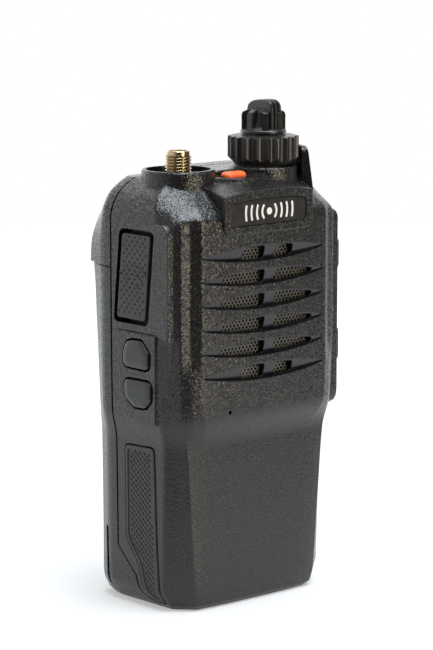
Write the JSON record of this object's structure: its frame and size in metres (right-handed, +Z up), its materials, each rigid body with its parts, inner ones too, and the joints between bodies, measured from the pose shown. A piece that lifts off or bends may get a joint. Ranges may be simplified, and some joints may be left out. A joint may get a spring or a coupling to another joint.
{
  "type": "portable two-way radio",
  "caption": "Handheld two-way radio with removable battery, push-to-talk bar, side keys, stacked rotary knobs, alarm button and threaded antenna socket.",
  "frame": {"origin": "on the flat bottom the radio stands on, on the plane that the case is nearly symmetric about", "axes": "+Z up towards the knobs, -Y out of the loudspeaker face, -X out of the push-to-talk side"},
  "size_m": [0.0579, 0.0384, 0.118],
  "materials": {
    "moulded_case": "spark-eroded charcoal moulding",
    "knob_plastic": "fine matte black",
    "soft_rubber": "matte black rubber",
    "key_rubber": "satin black key caps",
    "orange_rubber": "matte orange",
    "nameplate_face": "fine matte with white print",
    "gold_plate": "bright gold plating",
    "white_ptfe": "waxy white",
    "cast_alloy": "as-cast, tumbled",
    "zinc_steel": "bright zinc",
    "circuit_board": "green solder mask",
    "cell_wrap": "blue heat-shrink wrap",
    "speaker_paper": "black pressed paper"
  },
  "bodies": {
    "housing": {"front_case": "moulded_case", "rear_chassis": "moulded_case", "main_frame": "cast_alloy", "case_screw_1": "zinc_steel", "case_screw_2": "zinc_steel", "case_screw_3": "zinc_steel", "case_screw_4": "zinc_steel", "speaker_mesh": "zinc_steel", "speaker_frame": "zinc_steel", "speaker_cone": "speaker_paper", "speaker_magnet": "cast_alloy", "microphone": "cast_alloy", "microphone_boot": "soft_rubber", "main_board": "circuit_board", "shield_can": "zinc_steel", "contact_block": "moulded_case", "battery_pin_1": "gold_plate", "battery_pin_2": "gold_plate", "battery_pin_3": "gold_plate", "key_switch_upper": "zinc_steel", "key_switch_lower": "zinc_steel", "ptt_switch": "zinc_steel", "alarm_switch": "zinc_steel", "sma_socket": "gold_plate", "sma_insulator": "white_ptfe", "sma_contact": "gold_plate", "sma_nut": "gold_plate", "encoder_body": "zinc_steel", "encoder_nut": "zinc_steel", "keypad_membrane": "soft_rubber", "grip_panel_left": "soft_rubber", "grip_panel_right": "soft_rubber", "accessory_jack": "moulded_case", "nameplate": "nameplate_face"},
    "battery": {"battery_case": "moulded_case", "battery_lid": "moulded_case", "battery_cell_left": "cell_wrap", "battery_cell_right": "cell_wrap", "battery_board": "circuit_board", "battery_pad_1": "gold_plate", "battery_pad_2": "gold_plate", "battery_pad_3": "gold_plate"},
    "latch": {"battery_latch": "moulded_case"},
    "volume": {"volume_knob": "knob_plastic", "volume_shaft": "cast_alloy"},
    "channel": {"channel_knob": "knob_plastic", "channel_shaft": "cast_alloy"},
    "ptt": {"ptt_button": "soft_rubber"},
    "key_upper": {"side_key_upper": "key_rubber"},
    "key_lower": {"side_key_lower": "key_rubber"},
    "alarm": {"alarm_button": "orange_rubber"},
    "cover": {"accessory_cover": "soft_rubber"}
  },
  "joints": [
    {"name": "volume_turn", "type": "hinge", "parent": "housing", "child": "volume", "pos_m": [0.0135, -0.0015, 0.1059], "axis": [0, 0, -1], "range_deg": [0, 300]},
    {"name": "channel_turn", "type": "hinge", "parent": "housing", "child": "channel", "pos_m": [0.0135, -0.0015, 0.1138], "axis": [0, 0, -1], "range_deg": [0, 337.5]},
    {"name": "alarm_press", "type": "slide", "parent": "housing", "child": "alarm", "axis": [0, 0, -1], "range_m": [0, 0.0007], "stiffness_N_per_m": 2000},
    {"name": "ptt_press", "type": "slide", "parent": "housing", "child": "ptt", "axis": [1, 0, 0], "range_m": [0, 0.001], "stiffness_N_per_m": 3000},
    {"name": "key_upper_press", "type": "slide", "parent": "housing", "child": "key_upper", "axis": [1, 0, 0], "range_m": [0, 0.0006], "stiffness_N_per_m": 2500},
    {"name": "key_lower_press", "type": "slide", "parent": "housing", "child": "key_lower", "axis": [1, 0, 0], "range_m": [0, 0.0006], "stiffness_N_per_m": 2500},
    {"name": "battery_release", "type": "slide", "parent": "housing", "child": "battery", "axis": [0, 1, 0], "range_m": [0, 0.012]},
    {"name": "latch_slide", "type": "slide", "parent": "housing", "child": "latch", "axis": [0, 0, 1], "range_m": [0, 0.0015], "stiffness_N_per_m": 1500},
    {"name": "cover_open", "type": "hinge", "parent": "housing", "child": "cover", "pos_m": [0.0276, 0.0005, 0.0524], "axis": [0, 1, 0], "range_deg": [0, 95]}
  ]
}
